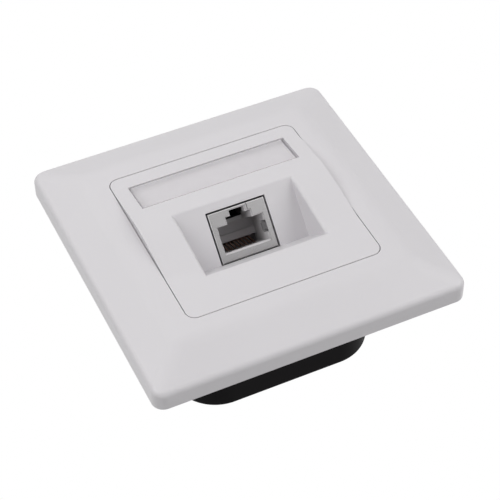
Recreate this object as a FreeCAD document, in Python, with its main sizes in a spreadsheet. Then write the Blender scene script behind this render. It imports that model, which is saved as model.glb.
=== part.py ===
import FreeCAD, Part
import math
import os
from types import SimpleNamespace

import Sketcher

# Ethernet wall socket: a square cover frame, a centre plate with a slanted shielded jack, and the works
# behind.
#
# Three frames are used, each with X to the right. On the face, Y runs up the wall and Z out of it, with the
# wall at zero. In the jack, Y runs up the jack's face and Z out of it, from the bottom of the pocket. On the
# label, Y runs up the sloped surface and Z out of it, from the middle of the label. Depths are counted into
# the wall.

# Driving sizes, in millimetres and degrees.
SIZES = {
    # Cover frame.
    "frame_size": 80.0,
    "frame_corner": 3.0,
    "frame_edge": 4.9,
    "frame_wall": 2.2,
    "edge_round": 1.6,
    "face_height": 8.7,
    "plateau_size": 60.6,
    "ridge_round": 10.0,
    "ledge_width": 2.0,
    "ledge_thickness": 1.3,
    "collar_wall": 2.0,
    # Centre plate and its roof.
    "plate_size": 50.0,
    "plate_corner": 2.4,
    "plate_gap": 0.22,
    "plate_edge": 2.5,
    "roof_crest": 4.5,
    "roof_run": 16.0,
    "roof_slope": 7.7,
    "roof_round": 34.0,
    "roof_foot_round": 16.0,
    # Pocket in front of the jack.
    "pocket_width": 31.2,
    "pocket_depth": 9.1,
    "pocket_drop": 5.0,
    "pocket_wall": 1.5,
    "pocket_round": 0.8,
    "jack_tilt": 45.0,
    # Label recess, window and card.
    "label_length": 42.3,
    "label_width": 9.5,
    "label_rise": 16.34,
    "tray_wall": 1.4,
    "window_drop": 0.1,
    "window_thickness": 1.2,
    "window_play": 0.3,
    "peg_radius": 0.42,
    "peg_reach": 0.6,
    "peg_play": 0.08,
    "pry_gap": 0.85,
    "card_thickness": 0.25,
    "card_margin": 0.3,
    "card_play": 0.1,
    # Snap hooks behind the centre plate.
    "hook_spacing_across": 43.2,
    "hook_spacing_up": 16.0,
    "hook_width": 6.0,
    "hook_thickness": 1.4,
    "hook_barb": 0.9,
    "hook_tip": 2.4,
    "hook_play": 0.3,
    "hook_grip": 0.1,
    # Support plate.
    "support_inset": 2.8,
    "support_corner": 5.0,
    "support_thickness": 1.2,
    "support_play": 0.5,
    "box_screw_spacing": 60.0,
    "box_slot_length": 7.0,
    "box_slot_width": 3.6,
    # Rear housing.
    "housing_size": 52.0,
    "housing_corner": 11.5,
    "housing_depth": 26.1,
    "housing_wall": 1.8,
    "housing_round": 1.2,
    "boss_spacing": 39.0,
    "boss_radius": 3.0,
    "boss_depth": 12.0,
    "boss_web": 1.6,
    "rib_gap": 33.8,
    "rib_thickness": 4.0,
    "rib_start": 9.0,
    "rib_end": 28.0,
    # Cable entry.
    "entry_drop": 12.0,
    "entry_radius": 4.4,
    "grommet_bore": 3.2,
    "grommet_flange": 6.0,
    "grommet_lip": 1.0,
    # Screws.
    "housing_screw_radius": 1.1,
    "housing_screw_length": 9.0,
    "board_screw_radius": 1.0,
    "board_screw_length": 4.8,
    "screw_head_radius": 2.0,
    "screw_head_height": 1.4,
    "screw_drive_length": 2.2,
    "screw_drive_width": 0.6,
    "screw_drive_depth": 0.7,
    "screw_play": 0.1,
    # Jack shield.
    "jack_width": 15.1,
    "jack_height": 12.8,
    "jack_depth": 21.0,
    "jack_lift": 0.05,
    "jack_gap": 0.36,
    "shield_sheet": 0.3,
    "shield_bend": 0.35,
    "mouth_floor": 2.0,
    "mouth_width": 12.3,
    "mouth_height": 7.2,
    "key_width": 6.9,
    "key_height": 1.8,
    "latch_width": 4.3,
    "latch_height": 1.35,
    "seam_offset": 2.55,
    "seam_width": 0.25,
    "spring_rise": 5.75,
    "spring_width": 2.0,
    "spring_start": 0.8,
    "spring_run": 2.0,
    "spring_bulge": 1.7,
    "spring_play": 0.5,
    "peg_tab_depth": 18.5,
    "peg_tab_width": 1.2,
    "peg_tab_length": 2.3,
    # Jack body, carrier and contacts.
    "fit_play": 0.1,
    "cavity_inset": 0.2,
    "lip_rise": 0.45,
    "plug_depth": 9.6,
    "key_depth": 8.0,
    "latch_depth": 2.0,
    "carrier_width": 12.4,
    "carrier_height": 9.8,
    "ledge_rise": 4.5,
    "ledge_height": 1.8,
    "ledge_depth": 0.7,
    "bay_rise": 2.3,
    "bay_depth": 3.0,
    "contact_count": 8.0,
    "contact_pitch": 1.02,
    "contact_width": 0.42,
    "contact_thickness": 0.35,
    "contact_height": 4.1,
    "contact_tail": 18.0,
    "contact_bend": 9.2,
    "contact_tip": 3.4,
    "contact_tip_height": 1.55,
    "contact_play": 0.1,
    "comb_start": 2.4,
    "comb_depth": 1.2,
    # Circuit board.
    "board_width": 42.0,
    "board_length": 26.8,
    "board_start": 2.2,
    "board_thickness": 1.6,
    "board_screw_spacing": 36.6,
    "board_screw_depth": 21.0,
    "pin_length": 0.8,
    "pin_hole_radius": 0.42,
    "tab_hole_radius": 0.8,
    # Terminal blocks.
    "block_width": 13.0,
    "block_length": 10.0,
    "block_height": 11.0,
    "block_start": 5.5,
    "block_gap": 4.4,
    "terminal_count": 4.0,
    "terminal_pitch": 3.0,
    "channel_width": 1.0,
    "channel_depth": 6.0,
    "fork_width": 2.2,
    "fork_thickness": 0.4,
    "fork_recess": 0.8,
    "fork_slit": 0.4,
    "fork_slit_depth": 5.0,
    "fork_tail": 0.6,
    # Clip for the cable's screen.
    "clip_width": 7.0,
    "clip_height": 5.5,
    "clip_length": 4.0,
    "clip_sheet": 0.4,
    "clip_start": 19.5,
}

QUARTER_TURN = 90.0
DIAGONAL = math.sqrt(0.5)
NEAR = 1e-3


class Size:
    """A size from the sheet, or a sum of such sizes, with the formula that ties it to the sheet."""

    def __init__(self, value, formula):
        self.value = value
        self.formula = formula

    @staticmethod
    def of(number):
        return number if isinstance(number, Size) else Size(float(number), "(%r)" % number)

    def joined(self, sign, other, value):
        return Size(value, "(%s %s %s)" % (self.formula, sign, other.formula))

    def __add__(self, other):
        other = Size.of(other)
        return self.joined("+", other, self.value + other.value)

    def __sub__(self, other):
        other = Size.of(other)
        return self.joined("-", other, self.value - other.value)

    def __mul__(self, other):
        other = Size.of(other)
        return self.joined("*", other, self.value * other.value)

    def __truediv__(self, other):
        other = Size.of(other)
        return self.joined("/", other, self.value / other.value)

    def __radd__(self, other):
        return Size.of(other) + self

    def __rsub__(self, other):
        return Size.of(other) - self

    def __rmul__(self, other):
        return Size.of(other) * self

    def __neg__(self):
        return Size(-self.value, "(-%s)" % self.formula)

    def sine(self):
        return Size(math.sin(math.radians(self.value)), "sin(%s)" % self.formula)

    def cosine(self):
        return Size(math.cos(math.radians(self.value)), "cos(%s)" % self.formula)

    def tangent(self):
        return Size(math.tan(math.radians(self.value)), "tan(%s)" % self.formula)


ZERO = Size.of(0.0)
X_AXIS = FreeCAD.Vector(1, 0, 0)
Z_AXIS = FreeCAD.Vector(0, 0, 1)

doc = FreeCAD.newDocument("EthernetWallSocket")


def write_sheet():
    """Puts every driving size into the sheet under its own name, and returns them as sizes."""
    sheet = doc.addObject("Spreadsheet::Sheet", "Sizes")
    sizes = SimpleNamespace()
    for row, (name, number) in enumerate(SIZES.items(), start=1):
        cell = "A%d" % row
        sheet.set(cell, str(number))
        sheet.setAlias(cell, name)
        setattr(sizes, name, Size(number, "Sizes." + name))
    doc.recompute()
    return sizes


S = write_sheet()


# Places that several pieces share.

# Slopes and heights of the face.
FRAME_RISE = (S.face_height - S.frame_edge) / ((S.frame_size - S.plateau_size) / 2)
PLATE_BACK = S.face_height - S.plate_edge
LEDGE_BACK = PLATE_BACK - S.ledge_thickness
OPENING = S.plate_size + 2 * S.plate_gap
HOLLOW_SIZE = S.frame_size - 2 * S.frame_wall
SUPPORT_SIZE = HOLLOW_SIZE - 2 * S.support_inset
ROOF_TAN = S.roof_slope.tangent()
# Bottom of the pocket, where the jack's frame starts, on the face.
POCKET_UP = -S.pocket_drop
POCKET_OUT = S.face_height - S.pocket_depth
TILT_SIN = S.jack_tilt.sine()
TILT_COS = S.jack_tilt.cosine()
# Middle of the label on the roof's upper slope.
LABEL_OUT = S.face_height + (S.roof_crest + S.roof_run - S.label_rise) * ROOF_TAN
LABEL_FLOOR = S.window_drop + S.window_thickness + S.card_play + S.card_thickness
PIVOT_LEFT = S.label_length / 2 - S.window_play - S.window_thickness / 2
PIVOT_DEPTH = S.window_drop + S.window_thickness / 2
# Heights in the jack, from the pocket's bottom up the jack's face.
JACK_TOP = S.jack_lift + S.jack_height
MOUTH_FLOOR = S.jack_lift + S.mouth_floor
MOUTH_TOP = MOUTH_FLOOR + S.mouth_height
KEY_TOP = MOUTH_TOP + S.key_height
LATCH_TOP = KEY_TOP + S.latch_height
CONTACT_TOP = S.jack_lift + S.contact_height
CONTACT_TIP_HEIGHT = S.jack_lift + S.contact_tip_height
BOARD_BACK = S.jack_lift - S.board_thickness
SPRING_MIDDLE = S.jack_lift + S.spring_rise
# Depths in the jack, into the wall.
BODY_FRONT = S.shield_sheet + S.fit_play
BODY_BACK = S.jack_depth - S.shield_sheet - S.fit_play
CAVITY_BACK = BODY_FRONT + S.plug_depth
FORK_DEPTH = S.block_start + S.block_length / 2
# Offsets of the first of a row of contacts or terminals.
FIRST_CONTACT = -S.contact_pitch * (S.contact_count - 1) / 2
TERMINAL_SPAN = S.terminal_pitch * (S.terminal_count - 1)


# Tools that build the document.

def bind(item, path, size):
    """Ties a property of an object to the sheet."""
    item.setExpression(path, Size.of(size).formula)


def origin_part(body, role):
    return next(part for part in body.Origin.OriginFeatures if part.Role == role)


def new_body(name, turn, up=ZERO, out=ZERO, across=ZERO):
    """Starts a sub-part that is turned about X and set at a place on the face."""
    body = doc.addObject("PartDesign::Body", name)
    body.Label = name
    turn = Size.of(turn)
    body.Placement = FreeCAD.Placement(FreeCAD.Vector(), FreeCAD.Rotation(X_AXIS, turn.value))
    bind(body, "Placement.Rotation.Angle", turn)
    bind(body, "Placement.Base.x", across)
    bind(body, "Placement.Base.y", -Size.of(out))
    bind(body, "Placement.Base.z", up)
    return body


def face_body(name):
    return new_body(name, QUARTER_TURN)


def jack_body_at(name):
    return new_body(name, QUARTER_TURN + S.jack_tilt, POCKET_UP, POCKET_OUT)


def label_body(name):
    return new_body(name, QUARTER_TURN - S.roof_slope, S.label_rise, LABEL_OUT)


def new_sketch(body, name, role, x=ZERO, y=ZERO, z=ZERO, axis=None, angle=None):
    """Starts a sketch on one of the body's planes, moved and turned in that plane's own axes."""
    sketch = body.newObject("Sketcher::SketchObject", name)
    sketch.AttachmentSupport = [(origin_part(body, role), "")]
    sketch.MapMode = "FlatFace"
    if angle is not None:
        sketch.AttachmentOffset = FreeCAD.Placement(FreeCAD.Vector(), FreeCAD.Rotation(axis, angle.value))
        bind(sketch, "AttachmentOffset.Rotation.Angle", angle)
    for letter, size in (("x", x), ("y", y), ("z", z)):
        bind(sketch, "AttachmentOffset.Base." + letter, size)
    return sketch


def side_of_jack(body, name, across=ZERO):
    """A sketch seen from the side of a face body, whose axes run up the jack's face and out of it."""
    return new_sketch(body, name, "YZ_Plane", POCKET_UP, POCKET_OUT, across, Z_AXIS, S.jack_tilt)


def vector(x, y):
    return FreeCAD.Vector(Size.of(x).value, Size.of(y).value, 0)


def hold_point(sketch, line, end, x, y):
    """Holds one end of a line, or a centre, at a place in the sketch."""
    for kind, size in (("DistanceX", x), ("DistanceY", y)):
        size = Size.of(size)
        index = sketch.addConstraint(Sketcher.Constraint(kind, -1, 1, line, end, size.value))
        bind(sketch, "Constraints[%d]" % index, size)


def draw_polygon(sketch, points):
    """Draws a closed outline of straight lines through the points."""
    first = sketch.GeometryCount
    count = len(points)
    for index, point in enumerate(points):
        following = points[(index + 1) % count]
        sketch.addGeometry(Part.LineSegment(vector(*point), vector(*following)))
    for index in range(count):
        following = first + (index + 1) % count
        sketch.addConstraint(Sketcher.Constraint("Coincident", first + index, 2, following, 1))
    for index, point in enumerate(points):
        hold_point(sketch, first + index, 1, *point)
    return sketch


def draw_box(sketch, left, bottom, right, top):
    return draw_polygon(sketch, [(left, bottom), (right, bottom), (right, top), (left, top)])


def draw_circle(sketch, x, y, radius):
    line = sketch.addGeometry(Part.Circle(vector(x, y), Z_AXIS, radius.value))
    hold_point(sketch, line, 3, x, y)
    index = sketch.addConstraint(Sketcher.Constraint("Radius", line, radius.value))
    bind(sketch, "Constraints[%d]" % index, radius)
    return sketch


def draw_arc(sketch, x, y, radius, start, end):
    circle = Part.Circle(vector(x, y), Z_AXIS, radius.value)
    return sketch.addGeometry(Part.ArcOfCircle(circle, math.radians(start), math.radians(end)))


def join_smoothly(sketch, lines):
    """Joins each line or arc to the next at a common end, without a corner."""
    for index, line in enumerate(lines):
        following = lines[(index + 1) % len(lines)]
        sketch.addConstraint(Sketcher.Constraint("Tangent", line, 2, following, 1))


def draw_rounded(sketch, width, height, radius, x=ZERO, y=ZERO):
    """Draws a rectangle with round corners about a centre."""
    left, right = x - width / 2, x + width / 2
    bottom, top = y - height / 2, y + height / 2
    near_left, near_right = left + radius, right - radius
    near_bottom, near_top = bottom + radius, top - radius
    corners = [(near_right, near_bottom), (near_right, near_top),
               (near_left, near_top), (near_left, near_bottom)]
    straights = [((near_left, bottom), (near_right, bottom)), ((right, near_bottom), (right, near_top)),
                 ((near_right, top), (near_left, top)), ((left, near_top), (left, near_bottom))]
    lines = []
    for turn, (straight, corner) in enumerate(zip(straights, corners)):
        lines.append(sketch.addGeometry(Part.LineSegment(vector(*straight[0]), vector(*straight[1]))))
        start = QUARTER_TURN * (turn - 1)
        lines.append(draw_arc(sketch, *corner, radius, start, start + QUARTER_TURN))
    join_smoothly(sketch, lines)
    for line, kind in ((0, "Horizontal"), (4, "Horizontal"), (2, "Vertical"), (6, "Vertical")):
        sketch.addConstraint(Sketcher.Constraint(kind, lines[line]))
    for arc in (3, 5, 7):
        sketch.addConstraint(Sketcher.Constraint("Equal", lines[1], lines[arc]))
    index = sketch.addConstraint(Sketcher.Constraint("Radius", lines[1], radius.value))
    bind(sketch, "Constraints[%d]" % index, radius)
    for line, kind, size in ((0, "DistanceY", bottom), (2, "DistanceX", right),
                             (4, "DistanceY", top), (6, "DistanceX", left)):
        index = sketch.addConstraint(Sketcher.Constraint(kind, -1, 1, lines[line], 1, size.value))
        bind(sketch, "Constraints[%d]" % index, size)
    return sketch


def draw_slot(sketch, length, width, x, y):
    """Draws a slot with round ends that runs across."""
    radius = width / 2
    left, right = x - length / 2 + radius, x + length / 2 - radius
    lines = [sketch.addGeometry(Part.LineSegment(vector(left, y - radius), vector(right, y - radius))),
             draw_arc(sketch, right, y, radius, -QUARTER_TURN, QUARTER_TURN),
             sketch.addGeometry(Part.LineSegment(vector(right, y + radius), vector(left, y + radius))),
             draw_arc(sketch, left, y, radius, QUARTER_TURN, 3 * QUARTER_TURN)]
    join_smoothly(sketch, lines)
    sketch.addConstraint(Sketcher.Constraint("Equal", lines[1], lines[3]))
    index = sketch.addConstraint(Sketcher.Constraint("Radius", lines[1], radius.value))
    bind(sketch, "Constraints[%d]" % index, radius)
    hold_point(sketch, lines[1], 3, right, y)
    hold_point(sketch, lines[3], 3, left, y)
    return sketch


def add(body, name, sketch, length, both_ways=False, backward=False):
    """Pads a sketch by a length along its normal, or against it, or half to each side."""
    pad = body.newObject("PartDesign::Pad", name)
    pad.Profile = sketch
    pad.SideType = "Symmetric" if both_ways else "One side"
    pad.Reversed = backward
    bind(pad, "Length", length)
    doc.recompute()
    return pad


def cut(body, name, sketch, length=None, both_ways=False, backward=False):
    """Cuts a sketch into the body against its normal, or along it, or half to each side, or right through."""
    before = body.Shape.Volume
    pocket = body.newObject("PartDesign::Pocket", name)
    pocket.Profile = sketch
    pocket.SideType = "Symmetric" if both_ways else "One side"
    pocket.Reversed = backward
    if length is None:
        pocket.Type = "ThroughAll"
    else:
        bind(pocket, "Length", length)
    doc.recompute()
    if body.Shape.Volume > before - NEAR:
        raise RuntimeError("%s cuts nothing from %s" % (name, body.Label))
    return pocket


def loft(body, name, kind, sketches):
    """Joins two outlines by flat slopes, as an addition or as a cut."""
    feature = body.newObject("PartDesign::" + kind, name)
    feature.Profile = sketches[0]
    feature.Sections = sketches[1:]
    feature.Ruled = True
    doc.recompute()
    return feature


def soften(body, name, radius, wanted):
    """Rounds those edges of the body that the test picks."""
    base = body.Tip
    names = ["Edge%d" % number for number, edge in enumerate(base.Shape.Edges, start=1) if wanted(edge)]
    fillet = body.newObject("PartDesign::Fillet", name)
    fillet.Base = (base, names)
    bind(fillet, "Radius", radius)
    doc.recompute()
    return fillet


def repeat(body, name, originals, axis, pitch, count):
    """Repeats features in a row along one of the body's axes."""
    row = body.newObject("PartDesign::LinearPattern", name)
    row.Originals = originals
    row.Direction = (origin_part(body, axis), [""])
    row.Mode = "Spacing"
    bind(row, "Offset", pitch)
    bind(row, "Occurrences", count)
    body.Tip = row
    doc.recompute()
    return row


def flat_at(height):
    """Picks edges that lie at one height of the body's own frame."""
    def wanted(edge):
        return max(abs(vertex.Z - height.value) for vertex in edge.Vertexes) < NEAR
    return wanted


def runs_across(up, out):
    """Picks the edges that run across the plate at one height up the wall and out of it."""
    def wanted(edge):
        return all(abs(vertex.Y - up.value) < NEAR and abs(vertex.Z - out.value) < NEAR
                   for vertex in edge.Vertexes)
    return wanted


def front_rim(half_width):
    """Picks the edges on the plate's front that lie within half a width of its middle."""
    def wanted(edge):
        return all(abs(vertex.X) < half_width.value + NEAR and vertex.Z > S.face_height.value - NEAR
                   for vertex in edge.Vertexes)
    return wanted


def upright(edge):
    """Picks the edges that run straight out of the wall."""
    first, last = edge.Vertexes[0], edge.Vertexes[-1]
    return abs(first.X - last.X) < NEAR and abs(first.Y - last.Y) < NEAR and abs(first.Z - last.Z) > NEAR


# The pieces of the face.

def make_cover_frame():
    """Square frame: upright rim, slopes up to a flat plateau, hollow behind, and a collar with a ledge."""
    body = face_body("cover_frame")
    rim = new_sketch(body, "rim_outline", "XY_Plane")
    draw_rounded(rim, S.frame_size, S.frame_size, S.frame_corner)
    add(body, "rim", rim, S.frame_edge)
    foot = new_sketch(body, "slope_foot", "XY_Plane", z=S.frame_edge)
    draw_rounded(foot, S.frame_size, S.frame_size, S.frame_corner)
    head = new_sketch(body, "slope_head", "XY_Plane", z=S.face_height)
    draw_rounded(head, S.plateau_size, S.plateau_size, S.frame_corner)
    loft(body, "slope", "AdditiveLoft", [foot, head])
    soften(body, "ridge", S.ridge_round, flat_at(S.face_height))
    soften(body, "edge", S.edge_round, flat_at(S.frame_edge))

    hollow_corner = S.frame_corner - S.frame_wall / 2
    hollow_edge = S.frame_edge + S.frame_wall * FRAME_RISE - S.frame_wall
    back = new_sketch(body, "hollow_outline", "XY_Plane")
    draw_rounded(back, HOLLOW_SIZE, HOLLOW_SIZE, hollow_corner)
    cut(body, "hollow", back, hollow_edge, backward=True)
    hollow_foot = new_sketch(body, "hollow_foot", "XY_Plane", z=hollow_edge)
    draw_rounded(hollow_foot, HOLLOW_SIZE, HOLLOW_SIZE, hollow_corner)
    hollow_head = new_sketch(body, "hollow_head", "XY_Plane", z=S.face_height - S.frame_wall)
    draw_rounded(hollow_head, S.plateau_size, S.plateau_size, hollow_corner)
    loft(body, "hollow_slope", "SubtractiveLoft", [hollow_foot, hollow_head])

    collar = new_sketch(body, "collar_outline", "XY_Plane", z=LEDGE_BACK)
    collar_size = OPENING + 2 * S.collar_wall
    draw_rounded(collar, collar_size, collar_size, S.plate_corner + S.collar_wall)
    add(body, "collar", collar, S.plate_edge + S.ledge_thickness)
    opening = new_sketch(body, "opening_outline", "XY_Plane", z=S.face_height)
    draw_rounded(opening, OPENING, OPENING, S.plate_corner + S.plate_gap)
    cut(body, "opening", opening, S.plate_edge)
    inner = OPENING - 2 * S.ledge_width
    way = new_sketch(body, "way_outline", "XY_Plane", z=PLATE_BACK)
    draw_rounded(way, inner, inner, S.plate_corner)
    cut(body, "way", way)
    return body


def make_centre_plate():
    """Plate with a shallow roof, a label recess, a slanted pocket with the jack's window, and snap hooks."""
    body = face_body("centre_plate")
    half = S.plate_size / 2
    front_foot, back_foot = S.roof_crest - S.roof_run, S.roof_crest + S.roof_run
    crest_out = S.face_height + S.roof_run * ROOF_TAN
    profile = draw_polygon(new_sketch(body, "roof_profile", "YZ_Plane"), [
        (-half, PLATE_BACK), (half, PLATE_BACK), (half, S.face_height), (back_foot, S.face_height),
        (S.roof_crest, crest_out), (front_foot, S.face_height), (-half, S.face_height)])
    add(body, "roof", profile, S.plate_size, both_ways=True)
    soften(body, "corners", S.plate_corner, upright)
    soften(body, "crest", S.roof_round, runs_across(S.roof_crest, crest_out))
    for name, foot in (("front_foot", front_foot), ("back_foot", back_foot)):
        soften(body, name, S.roof_foot_round, runs_across(foot, S.face_height))
    add_pocket(body)
    add_label_recess(body)
    add_hooks(body)
    return body


def add_label_recess(body):
    """Recess for the label on the roof's upper slope, over a tray, with holes for the window's pegs."""
    long_half, short_half = S.label_length / 2, S.label_width / 2
    tray = new_sketch(body, "tray_outline", "XY_Plane", z=PLATE_BACK)
    draw_box(tray, -long_half - S.tray_wall, S.label_rise - short_half - S.tray_wall,
             long_half + S.tray_wall, S.label_rise + short_half + S.tray_wall)
    add(body, "tray", tray, S.tray_wall, backward=True)
    recess = new_sketch(body, "recess_outline", "XY_Plane", ZERO, S.label_rise, LABEL_OUT,
                        -X_AXIS, S.roof_slope)
    draw_box(recess, -long_half, -short_half, long_half, short_half)
    cut(body, "recess", recess, 2 * LABEL_FLOOR, both_ways=True)
    holes = new_sketch(body, "peg_hole", "XZ_Plane", ZERO, LABEL_OUT, -S.label_rise, -X_AXIS, S.roof_slope)
    draw_circle(holes, -PIVOT_LEFT, -PIVOT_DEPTH, S.peg_radius + S.peg_play)
    cut(body, "peg_holes", holes, S.label_width + 2 * (S.peg_reach + S.peg_play), both_ways=True)


def add_pocket(body):
    """V-shaped pocket: one face at the jack's tilt, a floor square to it, and a window for the jack."""
    reach = S.pocket_depth - S.plate_edge / 2
    up_end, out_end = reach / TILT_SIN, reach / TILT_COS
    trough = draw_polygon(side_of_jack(body, "trough_profile"), [
        (-S.pocket_wall, -S.pocket_wall), (up_end, -S.pocket_wall), (up_end, ZERO),
        (ZERO, out_end), (-S.pocket_wall, out_end)])
    add(body, "trough", trough, S.pocket_width + 2 * S.pocket_wall, both_ways=True)
    clear = S.plate_size / 2
    hollow = draw_box(side_of_jack(body, "pocket_profile"), ZERO, ZERO, clear, clear)
    cut(body, "pocket", hollow, S.pocket_width, both_ways=True)
    soften(body, "pocket_rim", S.pocket_round, front_rim(S.pocket_width / 2))
    window = new_sketch(body, "window_outline", "XY_Plane", ZERO, POCKET_UP - S.jack_gap * TILT_SIN,
                        POCKET_OUT + S.jack_gap * TILT_COS, X_AXIS, S.jack_tilt)
    half = S.jack_width / 2 + S.jack_gap
    draw_box(window, -half, S.jack_lift - S.jack_gap, half, JACK_TOP + S.jack_gap)
    cut(body, "window", window)


def add_hooks(body):
    """Four legs that go through the support plate and catch behind it."""
    inner = (S.hook_spacing_across - S.hook_thickness) / 2
    outer = inner + S.hook_thickness
    barb = outer + S.hook_barb
    root = PLATE_BACK + S.plate_edge / 2
    for row, level in (("upper", -1), ("lower", 1)):
        for column, side in (("left", -1), ("right", 1)):
            name = "hook_%s_%s" % (row, column)
            leg = new_sketch(body, name + "_profile", "XZ_Plane", z=level * S.hook_spacing_up / 2)
            draw_polygon(leg, [
                (side * inner, root), (side * inner, -S.hook_tip), (side * outer, -S.hook_tip),
                (side * barb, -S.hook_grip - S.hook_barb), (side * barb, -S.hook_grip),
                (side * outer, -S.hook_grip), (side * outer, root)])
            add(body, name, leg, S.hook_width, both_ways=True)


def make_label_window():
    """Clear strip over the label: round left end with two pegs, and room to pry at the right end."""
    body = label_body("label_window")
    radius = S.window_thickness / 2
    right = S.label_length / 2 - S.pry_gap
    top, bottom = -S.window_drop, -S.window_drop - S.window_thickness
    width = S.label_width - 2 * S.window_play
    side = new_sketch(body, "strip_profile", "XZ_Plane")
    draw_box(side, -PIVOT_LEFT, bottom, right, top)
    add(body, "strip", side, width, both_ways=True)
    pivot = draw_circle(new_sketch(body, "end_profile", "XZ_Plane"), -PIVOT_LEFT, -PIVOT_DEPTH, radius)
    add(body, "round_end", pivot, width, both_ways=True)
    pegs = draw_circle(new_sketch(body, "peg_profile", "XZ_Plane"), -PIVOT_LEFT, -PIVOT_DEPTH, S.peg_radius)
    add(body, "pegs", pegs, S.label_width + 2 * S.peg_reach, both_ways=True)
    return body


def make_label_card():
    """Blank paper label on the floor of the recess, clear of the window's round end."""
    body = label_body("label_card")
    card = new_sketch(body, "card_outline", "XY_Plane", z=-LABEL_FLOOR)
    half = S.label_width / 2 - S.card_margin
    draw_box(card, S.window_thickness - PIVOT_LEFT, -half, S.label_length / 2 - S.card_margin, half)
    add(body, "card", card, S.card_thickness)
    return body


# The pieces behind the face.

def make_support_plate():
    """Steel plate on the wall, with ways for the jack, the wall box's screws, the hooks and the screws."""
    body = face_body("support_plate")
    outline = new_sketch(body, "plate_outline", "XY_Plane")
    draw_rounded(outline, SUPPORT_SIZE, SUPPORT_SIZE, S.support_corner)
    add(body, "plate", outline, S.support_thickness)

    openings = new_sketch(body, "openings", "XY_Plane", z=S.support_thickness)
    half = S.pocket_width / 2 + S.pocket_wall + S.support_play
    bottom = POCKET_UP - S.pocket_depth * TILT_SIN / TILT_COS - S.pocket_wall - S.support_play
    top = POCKET_UP + POCKET_OUT * TILT_SIN / TILT_COS + JACK_TOP / TILT_COS + S.support_play
    draw_box(openings, -half, bottom, half, top)
    for side in (-1, 1):
        draw_slot(openings, S.box_slot_length, S.box_slot_width, side * S.box_screw_spacing / 2, ZERO)
        for level in (-1, 1):
            draw_circle(openings, side * S.boss_spacing / 2, level * S.boss_spacing / 2,
                        S.housing_screw_radius + S.screw_play)
            middle_x, middle_y = side * S.hook_spacing_across / 2, level * S.hook_spacing_up / 2
            half_x, half_y = S.hook_thickness / 2 + S.hook_play, S.hook_width / 2 + S.hook_play
            draw_box(openings, middle_x - half_x, middle_y - half_y, middle_x + half_x, middle_y + half_y)
    cut(body, "ways", openings)
    return body


def make_rear_housing():
    """Black box behind the support plate, with bosses on webs, ribs for the board and a cable entry."""
    body = face_body("rear_housing")
    shell = new_sketch(body, "shell_outline", "XY_Plane")
    draw_rounded(shell, S.housing_size, S.housing_size, S.housing_corner)
    add(body, "shell", shell, S.housing_depth, backward=True)
    soften(body, "back_edge", S.housing_round, flat_at(-S.housing_depth))
    inner = S.housing_size - 2 * S.housing_wall
    inside = new_sketch(body, "inside_outline", "XY_Plane")
    draw_rounded(inside, inner, inner, S.housing_corner - S.housing_wall)
    cut(body, "inside", inside, S.housing_depth - S.housing_wall)

    webs = new_sketch(body, "web_outlines", "XY_Plane")
    bosses = new_sketch(body, "boss_outlines", "XY_Plane")
    pilots = new_sketch(body, "pilot_outlines", "XY_Plane")
    middle, half_web = S.boss_spacing / 2, S.boss_web / 2 * DIAGONAL
    root = S.housing_size / 2 - S.housing_corner + (S.housing_corner - S.housing_wall / 2) * DIAGONAL
    for side in (-1, 1):
        for level in (-1, 1):
            draw_polygon(webs, [(side * (along + shift), level * (along - shift)) for along, shift in (
                (middle, half_web), (root, half_web), (root, -half_web), (middle, -half_web))])
            draw_circle(bosses, side * middle, level * middle, S.boss_radius)
            draw_circle(pilots, side * middle, level * middle, S.housing_screw_radius + S.screw_play)
    add(body, "webs", webs, S.boss_depth, backward=True)
    add(body, "bosses", bosses, S.boss_depth, backward=True)
    cut(body, "pilots", pilots, S.housing_screw_length)

    rib_width = (inner - S.rib_gap) / 2 + S.housing_wall / 2
    for name, start in (("rib_right", S.rib_gap / 2), ("rib_left", -S.rib_gap / 2 - rib_width)):
        rib = side_of_jack(body, name + "_profile", start)
        draw_box(rib, BOARD_BACK - S.rib_thickness, -S.rib_end, BOARD_BACK, -S.rib_start)
        add(body, name, rib, rib_width)
    holes = new_sketch(body, "rib_pilots_outline", "XZ_Plane", ZERO, POCKET_OUT + BOARD_BACK * TILT_SIN,
                       -POCKET_UP - BOARD_BACK * TILT_COS, X_AXIS, S.jack_tilt)
    for side in (-1, 1):
        draw_circle(holes, side * S.board_screw_spacing / 2, -S.board_screw_depth,
                    S.board_screw_radius + S.screw_play)
    cut(body, "rib_pilots", holes, S.rib_thickness, backward=True)

    entry = new_sketch(body, "entry_outline", "XY_Plane", z=S.housing_wall - S.housing_depth)
    draw_circle(entry, ZERO, -S.entry_drop, S.entry_radius)
    cut(body, "entry", entry)
    return body


def make_cable_grommet():
    """Rubber ring in the cable entry, with a lip on each side of the housing's wall."""
    back = -S.housing_depth
    body = new_body("cable_grommet", QUARTER_TURN, -S.entry_drop, back)
    neck = S.entry_radius - S.fit_play
    ring = draw_polygon(new_sketch(body, "ring_profile", "XZ_Plane"), [
        (S.grommet_bore, -S.grommet_lip), (S.grommet_flange, -S.grommet_lip), (S.grommet_flange, ZERO),
        (neck, ZERO), (neck, S.housing_wall), (S.grommet_flange, S.housing_wall),
        (S.grommet_flange, S.housing_wall + S.grommet_lip), (S.grommet_bore, S.housing_wall + S.grommet_lip)])
    turn = body.newObject("PartDesign::Revolution", "ring")
    turn.Profile = ring
    turn.ReferenceAxis = (origin_part(body, "Z_Axis"), [""])
    doc.recompute()
    return body


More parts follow.
